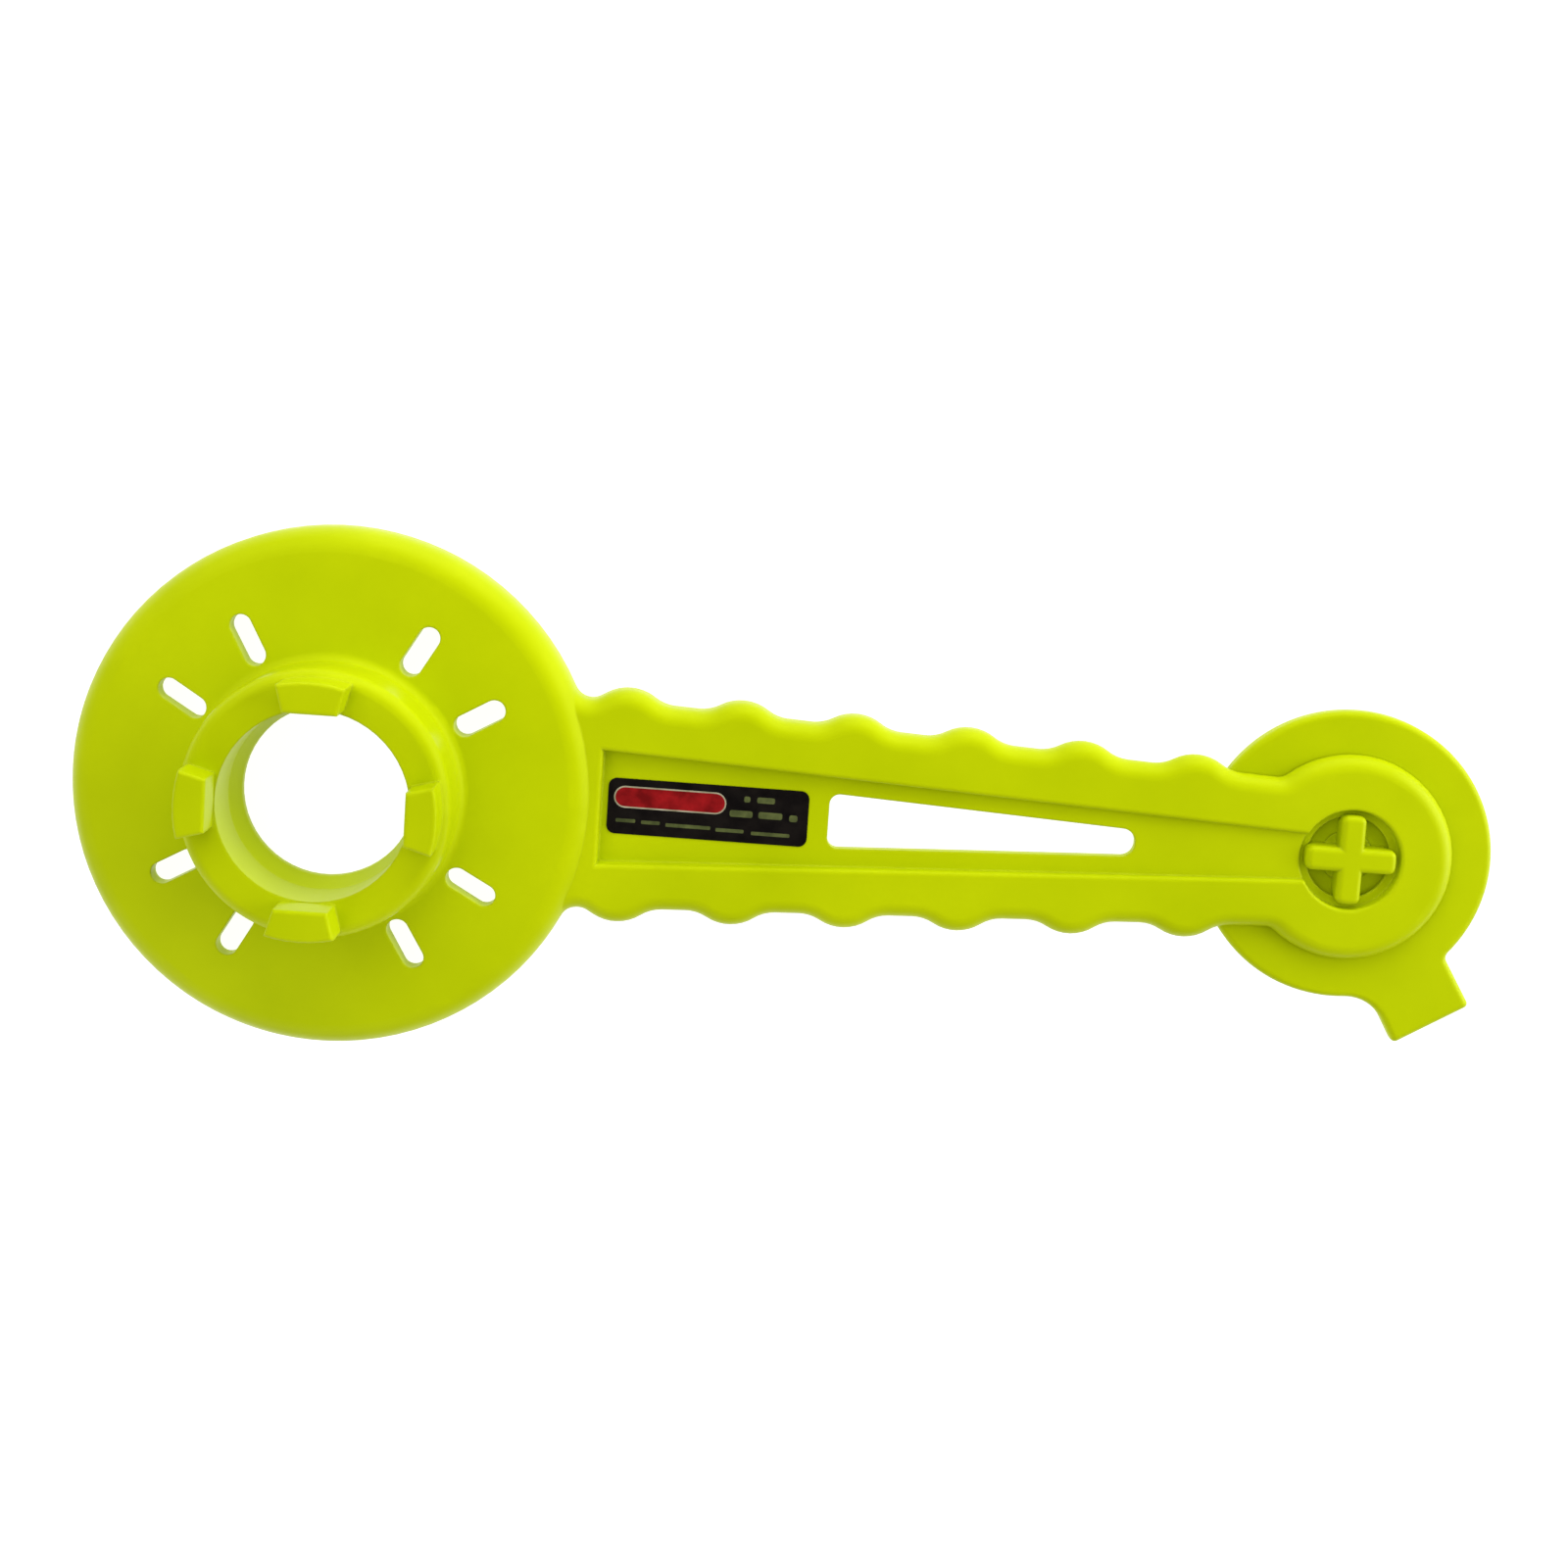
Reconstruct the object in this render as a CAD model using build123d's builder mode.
from build123d import *

import os
from math import cos, hypot, radians, sin, tan

# Hand string winder: a dished flange with a castellated collar, a scalloped crank handle moulded in
# one piece with it, and a disc with a tab that swivels on a cross-shaped pin under the handle's head.
# Millimetres. The origin is on the flange's axis, at the lower mouth of the collar's bore. +X runs
# along the handle to the swivel, and +Z is the side that the collar stands on.

# Levels. The flange's rim and the swivel disc both stand on the floor level.
FLOOR_Z = -6.6
FACE_Z = FLOOR_Z + 6.4  # the flat top of the handle and of its head
LEDGE_Z = FLOOR_Z + 20.0  # the ring that the lugs stand on
LUG_TOP_Z = FLOOR_Z + 25.6
HEAD_UNDER_Z = FLOOR_Z + 3.3  # the underside of the head
RETAINER_Z = FLOOR_Z + 4.1  # the step in the head's hole that the pin's barbs hook over
DISC_TOP_Z = FLOOR_Z + 3.0

# Flange
FLANGE_R = 50.0
LIP_ROUND = 5.0
LIP_WALL = 3.0
CONE_DEG = 4.5
PLATE_WALL = 2.4
LIP_INNER_ROUND = 2.0
FLOOR_ROUND = 1.2
SLOT_LENGTH = 10.3
SLOT_WIDTH = 4.2
SLOT_CENTRE_R = 32.3
SLOT_STARTS_DEG = (30, 60)

# Collar
MOUTH_R = 16.4
BORE_R = 17.9
THROAT_Z = (1.2, 5.0)  # the bore narrows to its mouth between these levels
COLLAR_R = 25.2
FOOT_ROUND = 1.8
LEDGE_ROUND = 2.4
GROOVE_R = (19.9, 22.7)
GROOVE_TOP_Z = LEDGE_Z - 2.4
LUG_COUNT = 4
LUG_INNER = 18.0
LUG_OUTER_R = 23.9
LUG_HALF_DEG = 15.5
LUG_ROUND = 0.6

# Handle
EDGE_ROUND = 3.0
BUMP_COUNT = 6
BUMP_X = 55.5
BUMP_PITCH = 21.7
BUMP_HALF_WIDTH = 22.75
TAPER_DEG = 2.55
BUMP_R = 8.5
DIP_R = 7.4
WAVE_DEG = 32.9
LEAD_IN = 8.0
LEAD_OUT = 14.0
RIM_BLEND = 3.5
HEAD_BLEND = 3.0
CHANNEL_X = (51.2, 192.0)
CHANNEL_HALF = (11.0, 4.1)
CHANNEL_FLOOR_Z = (FLOOR_Z + 3.5, FLOOR_Z + 5.3)
CHANNEL_ROUND = 0.8
WEB = 1.8
WINDOW_X = (94.7, 153.2)
WINDOW_HALF = (5.4, 2.6)
WINDOW_ROUND = 2.0
UNDERCUT_X = (50.0, 157.0)
SIDE_WALL = 2.2
RAIL_CORE_TOP_Z = FACE_Z - 2.2
RAIL_RIB = 1.6

# Head
PIVOT_X = 194.0
HEAD_R = 19.8
HOLE_R = 9.6
HOLE_ROUND = 0.5
RETAINER_R = 8.0

# Label
LABEL_SIZE = (38.4, 10.8)
LABEL_X = 71.6
LABEL_CORNER = 1.6
LABEL_THICK = 0.15

# Swivel
DISC_R = 27.9
DISC_TOP_ROUND = 1.2
DISC_FOOT_ROUND = 0.5
TAB_DEG = -58.6
TAB_REACH = 37.6
TAB_HALF = 8.15
TAB_WAIST = 7.2  # how far the tab's flared side would reach from its middle at the pivot
TAB_FLARE = 8.0
TAB_NOTCH = 1.5
TAB_CORNER = 0.9
DISC_SKIN = 1.6
DISC_RIM = 2.2
HUB_R = 8.5
DISC_RIB = 1.6
DISC_RIB_COUNT = 6

# Cross pin
SHANK_R = 5.0
STEM_GAP = 0.08
CROSS_R = 8.6
ARM_WIDTH = 4.65
CROSS_TOP_Z = FACE_Z + 0.4
ARM_END_ROUND = 1.3
CROSS_ROUND = 1.1
BARB_LIFT = 0.2
PIN_END_Z = FLOOR_Z + 0.4

TOUCH = 0.01  # how near a vertex lies to the circle that it is on


def channel_z(x):
    """Height of the channel's sloping floor at x."""
    share = (x - CHANNEL_X[0]) / (CHANNEL_X[1] - CHANNEL_X[0])
    return CHANNEL_FLOOR_Z[0] + share * (CHANNEL_FLOOR_Z[1] - CHANNEL_FLOOR_Z[0])


def channel_outline(grow):
    """The tapering channel's four corners, with its side walls moved out by grow."""
    left, right = CHANNEL_X
    wide, narrow = (half + grow for half in CHANNEL_HALF)
    return [(left, wide), (right, narrow), (right, -narrow), (left, -wide)]


crest_z = FACE_Z - EDGE_ROUND + LIP_ROUND * cos(radians(CONE_DEG))
crest_r = FLANGE_R - LIP_ROUND + LIP_ROUND * sin(radians(CONE_DEG))


def cone_z(r):
    """Height of the flange's conical top at radius r."""
    return crest_z + (crest_r - r) * tan(radians(CONE_DEG))


lip_inner_r = FLANGE_R - LIP_WALL
wave_reach = (BUMP_R + DIP_R) * sin(radians(WAVE_DEG))
flat_length = BUMP_PITCH / cos(radians(TAPER_DEG)) - 2 * wave_reach
floor_plane = Plane.XY.offset(FLOOR_Z)
channel_tilt = (CHANNEL_X[1] - CHANNEL_X[0], 0, CHANNEL_FLOOR_Z[1] - CHANNEL_FLOOR_Z[0])

with BuildPart() as winder_body:
    # Plan of flange, handle and head together. The handle's wavy edge starts on the flank of the
    # first bump, inside the flange, and ends on the flat after the last one, inside the head.
    with BuildSketch(floor_plane):
        with BuildLine():
            first_rise = BUMP_R * (1 - cos(radians(WAVE_DEG)))
            first_run = BUMP_R * sin(radians(WAVE_DEG))
            flank = (BUMP_X - first_run, BUMP_HALF_WIDTH - first_rise)
            flank_deg = WAVE_DEG - TAPER_DEG
            start = (
                flank[0] - LEAD_IN * cos(radians(flank_deg)),
                flank[1] - LEAD_IN * sin(radians(flank_deg)),
            )
            edge = Line(start, flank)
            for bump in range(BUMP_COUNT):
                edge = JernArc(edge @ 1, edge % 1, BUMP_R, -2 * WAVE_DEG)
                edge = JernArc(edge @ 1, edge % 1, DIP_R, WAVE_DEG)
                if bump < BUMP_COUNT - 1:
                    edge = Line(edge @ 1, edge @ 1 + (edge % 1) * flat_length)
                    edge = JernArc(edge @ 1, edge % 1, DIP_R, WAVE_DEG)
            edge = Line(edge @ 1, edge @ 1 + (edge % 1) * LEAD_OUT)
            end = edge @ 1
            Line(start, (start[0], 0))
            Line(end, (end.X, 0))
            mirror(about=Plane.XZ)
        make_face()
        Circle(FLANGE_R)
        with Locations((PIVOT_X, 0)):
            Circle(HEAD_R)
        on_rim = [v for v in vertices() if abs(hypot(v.X, v.Y) - FLANGE_R) < TOUCH]
        fillet([v for v in on_rim if v.X > 0], radius=RIM_BLEND)
        on_head = [v for v in vertices() if abs(hypot(v.X - PIVOT_X, v.Y) - HEAD_R) < TOUCH]
        fillet([v for v in on_head if v.X < PIVOT_X], radius=HEAD_BLEND)
    extrude(amount=FACE_Z - FLOOR_Z)
    fillet(edges().group_by(Axis.Z)[-1], radius=EDGE_ROUND)
    fillet(edges().group_by(Axis.Z)[0], radius=FLOOR_ROUND)
    with BuildSketch(floor_plane):
        Circle(FLANGE_R - EDGE_ROUND)
    extrude(amount=FACE_Z - FLOOR_Z, mode=Mode.SUBTRACT)

    # The handle gets shallower towards the head, so that the tab can pass under it.
    with BuildSketch(Plane.XZ):
        with BuildLine():
            Polyline(
                (UNDERCUT_X[0], FLOOR_Z),
                (UNDERCUT_X[1], HEAD_UNDER_Z),
                (PIVOT_X + HEAD_R + 1, HEAD_UNDER_Z),
                (PIVOT_X + HEAD_R + 1, FLOOR_Z),
                close=True,
            )
        make_face()
    extrude(amount=FLANGE_R, both=True, mode=Mode.SUBTRACT)

    # The rails beside the channel are cored from below, with a rib at each finger dip. The channel's
    # closed left end stays solid down to the flange's lip.
    with BuildSketch(floor_plane):
        add(winder_body.faces().filter_by(Axis.Z).sort_by(Axis.Z)[-1])
        offset(amount=EDGE_ROUND - SIDE_WALL, mode=Mode.REPLACE)
        with BuildLine():
            Polyline(*channel_outline(SIDE_WALL), close=True)
        make_face(mode=Mode.SUBTRACT)
        with Locations((FLANGE_R, 0)):
            Rectangle(2 * SIDE_WALL, 2 * (CHANNEL_HALF[0] + SIDE_WALL), mode=Mode.SUBTRACT)
        with Locations((PIVOT_X, 0)):
            Rectangle(2 * (PIVOT_X - UNDERCUT_X[1]), 2 * FLANGE_R, mode=Mode.SUBTRACT)
        for bump in range(BUMP_COUNT - 1):
            with Locations((BUMP_X + (bump + 0.5) * BUMP_PITCH, 0)):
                Rectangle(RAIL_RIB, 2 * FLANGE_R, mode=Mode.SUBTRACT)
    extrude(amount=RAIL_CORE_TOP_Z - FLOOR_Z, mode=Mode.SUBTRACT)

    # The channel in the handle's face, the shallower recess under its web, and the tapering window.
    for below_floor, depth_sign in ((0.0, 1), (WEB, -1)):
        tilted = Plane(
            origin=(CHANNEL_X[0], 0, CHANNEL_FLOOR_Z[0] - below_floor),
            x_dir=channel_tilt,
            z_dir=(-channel_tilt[2], 0, channel_tilt[0]),
        )
        with BuildSketch(tilted):
            with BuildLine():
                Polyline(*[(x - CHANNEL_X[0], y) for x, y in channel_outline(0)], close=True)
            make_face()
        extrude(amount=depth_sign * (FACE_Z - FLOOR_Z), mode=Mode.SUBTRACT)
    face_edges = edges().filter_by_position(Axis.Z, FACE_Z - TOUCH, FACE_Z + TOUCH)
    channel_rim = [e for e in face_edges if abs(e.center().Y) < CHANNEL_HALF[0]]
    fillet(ShapeList(channel_rim).filter_by(GeomType.LINE), radius=CHANNEL_ROUND)
    with BuildSketch(floor_plane):
        with BuildLine():
            Polyline(
                (WINDOW_X[0], WINDOW_HALF[0]),
                (WINDOW_X[1], WINDOW_HALF[1]),
                (WINDOW_X[1], -WINDOW_HALF[1]),
                (WINDOW_X[0], -WINDOW_HALF[0]),
                close=True,
            )
        make_face()
        fillet(vertices().group_by(Axis.X)[0], radius=WINDOW_ROUND)
        fillet(vertices().group_by(Axis.X)[-1], radius=WINDOW_HALF[1] - TOUCH)
    extrude(amount=FACE_Z - FLOOR_Z, mode=Mode.SUBTRACT)

    # The head's hole, with the step that the cross pin's barbs rest on.
    with Locations((PIVOT_X, 0, FACE_Z)):
        CounterBoreHole(
            radius=RETAINER_R,
            counter_bore_radius=HOLE_R,
            counter_bore_depth=FACE_Z - RETAINER_Z,
        )
    face_edges = edges().filter_by_position(Axis.Z, FACE_Z - TOUCH, FACE_Z + TOUCH)
    hole_rim = [e for e in face_edges.filter_by(GeomType.CIRCLE) if abs(e.radius - HOLE_R) < TOUCH]
    fillet(hole_rim, radius=HOLE_ROUND)

    # The dished flange and its collar, turned about the flange's axis.
    with BuildSketch(Plane.XZ):
        with BuildLine():
            wall = Line((FLANGE_R, FLOOR_Z + FLOOR_ROUND), (FLANGE_R, FACE_Z - EDGE_ROUND))
            lip = JernArc(wall @ 1, wall % 1, LIP_ROUND, 90 - CONE_DEG)
            Polyline(
                lip @ 1,
                (COLLAR_R, cone_z(COLLAR_R)),
                (COLLAR_R, LEDGE_Z),
                (BORE_R, LEDGE_Z),
                (BORE_R, THROAT_Z[1]),
                (MOUTH_R, THROAT_Z[0]),
                (MOUTH_R, 0),
                (COLLAR_R, 0),
                (lip_inner_r, cone_z(lip_inner_r) - PLATE_WALL),
                (lip_inner_r, FLOOR_Z),
                (FLANGE_R - FLOOR_ROUND, FLOOR_Z),
                wall @ 0,
            )
        make_face()
        fillet(vertices().sort_by_distance((COLLAR_R, cone_z(COLLAR_R)))[0], radius=FOOT_ROUND)
        fillet(vertices().sort_by_distance((COLLAR_R, LEDGE_Z))[0], radius=LEDGE_ROUND)
        under_corner = (lip_inner_r, cone_z(lip_inner_r) - PLATE_WALL)
        fillet(vertices().sort_by_distance(under_corner)[0], radius=LIP_INNER_ROUND)
    revolve(axis=Axis.Z)

    # Four lugs on the collar's ledge: flat inside, round outside, with radial flanks. They start
    # below the ledge, inside the collar's wall.
    lug_plane = Plane.XY.offset(LEDGE_Z - LEDGE_ROUND)
    for lug in range(LUG_COUNT):
        with BuildSketch(lug_plane.rotated((0, 0, lug * 360 / LUG_COUNT))):
            half = radians(LUG_HALF_DEG)
            with BuildLine():
                inner_low = (LUG_INNER, -LUG_INNER * tan(half))
                inner_high = (LUG_INNER, LUG_INNER * tan(half))
                outer_low = (LUG_OUTER_R * cos(half), -LUG_OUTER_R * sin(half))
                outer_high = (LUG_OUTER_R * cos(half), LUG_OUTER_R * sin(half))
                Polyline(outer_low, inner_low, inner_high, outer_high)
                ThreePointArc(outer_high, (LUG_OUTER_R, 0), outer_low)
            make_face()
        extrude(amount=LUG_TOP_Z - LEDGE_Z + LEDGE_ROUND)
    fillet(edges().group_by(Axis.Z)[-1], radius=LUG_ROUND)

    # A ring-shaped groove cores the collar from below, with a rib under each lug and each gap.
    with BuildSketch():
        Circle(GROOVE_R[1])
        Circle(GROOVE_R[0], mode=Mode.SUBTRACT)
        with PolarLocations(0, 2 * LUG_COUNT):
            Rectangle(2 * COLLAR_R, RAIL_RIB, mode=Mode.SUBTRACT)
    extrude(amount=GROOVE_TOP_Z, mode=Mode.SUBTRACT)

    # Radial slots through the flange, none of them in line with a lug.
    for slot_start in SLOT_STARTS_DEG:
        with BuildSketch(Plane.XY.offset(LEDGE_Z)):
            with PolarLocations(SLOT_CENTRE_R, LUG_COUNT, start_angle=slot_start):
                SlotOverall(SLOT_LENGTH, SLOT_WIDTH)
        extrude(amount=FLOOR_Z - LEDGE_Z, mode=Mode.SUBTRACT)

winder_body.part.label = "winder_body"

# Printed label, stuck to the channel's floor.
with BuildPart() as label:
    with BuildSketch(
        Plane(
            origin=(LABEL_X, 0, channel_z(LABEL_X)),
            x_dir=channel_tilt,
            z_dir=(-channel_tilt[2], 0, channel_tilt[0]),
        )
    ):
        RectangleRounded(*LABEL_SIZE, LABEL_CORNER)
    extrude(amount=LABEL_THICK)

label.part.label = "label"

# The disc under the head, with its tab. It is cored from below between its hub, rim and ribs.
with BuildPart() as swivel_disc:
    disc_plane = floor_plane.shift_origin((PIVOT_X, 0, FLOOR_Z)).rotated((0, 0, TAB_DEG))
    with BuildSketch(disc_plane):
        Circle(DISC_R)
        with BuildLine():
            Polyline(
                (0, TAB_HALF),
                (TAB_REACH, TAB_HALF),
                (TAB_REACH, -TAB_HALF),
                (0, -TAB_WAIST),
                close=True,
            )
        make_face()
        for side, root_round in ((1, TAB_NOTCH), (-1, TAB_FLARE)):
            on_disc = [v for v in vertices() if abs(hypot(v.X, v.Y) - DISC_R) < TOUCH]
            fillet([v for v in on_disc if v.X > 0 and side * v.Y > 0], radius=root_round)
        fillet(vertices().group_by(Axis.X)[-1], radius=TAB_CORNER)
    extrude(amount=DISC_TOP_Z - FLOOR_Z)
    fillet(edges().group_by(Axis.Z)[-1], radius=DISC_TOP_ROUND)
    fillet(edges().group_by(Axis.Z)[0], radius=DISC_FOOT_ROUND)
    with BuildSketch(disc_plane):
        Circle(DISC_R - DISC_RIM)
        Circle(HUB_R, mode=Mode.SUBTRACT)
        with PolarLocations(0, DISC_RIB_COUNT // 2):
            Rectangle(2 * DISC_R, DISC_RIB, mode=Mode.SUBTRACT)
    extrude(amount=DISC_TOP_Z - DISC_SKIN - FLOOR_Z, mode=Mode.SUBTRACT)
    with BuildSketch(disc_plane):
        Circle(SHANK_R)
    extrude(amount=DISC_TOP_Z - FLOOR_Z, mode=Mode.SUBTRACT)

swivel_disc.part.label = "swivel_disc"

# The cross pin: a round shank held in the disc's hub, a cross-shaped stem that turns in the head's
# hole, and a wider cross on top whose arms stop the head from lifting off.
with BuildPart() as cross_pin:
    pivot_floor = floor_plane.shift_origin((PIVOT_X, 0, FLOOR_Z))
    with BuildSketch(pivot_floor.offset(PIN_END_Z - FLOOR_Z)):
        Circle(SHANK_R)
    extrude(amount=DISC_TOP_Z - PIN_END_Z)
    cross_base_z = RETAINER_Z + BARB_LIFT
    for reach, low_z, high_z in (
        (RETAINER_R - STEM_GAP, DISC_TOP_Z, cross_base_z),
        (CROSS_R, cross_base_z, CROSS_TOP_Z),
    ):
        with BuildSketch(pivot_floor.offset(low_z - FLOOR_Z)):
            Rectangle(2 * reach, ARM_WIDTH)
            Rectangle(ARM_WIDTH, 2 * reach)
            Circle(reach, mode=Mode.INTERSECT)
            arm_ends = [v for v in vertices() if hypot(v.X, v.Y) > reach - TOUCH]
            fillet(arm_ends, radius=ARM_END_ROUND)
        extrude(amount=high_z - low_z)
    fillet(edges().group_by(Axis.Z)[-1], radius=CROSS_ROUND)

cross_pin.part.label = "cross_pin"

os.makedirs("parts", exist_ok=True)
for piece in (winder_body, label, swivel_disc, cross_pin):
    export_step(piece.part, f"parts/{piece.part.label}.step")
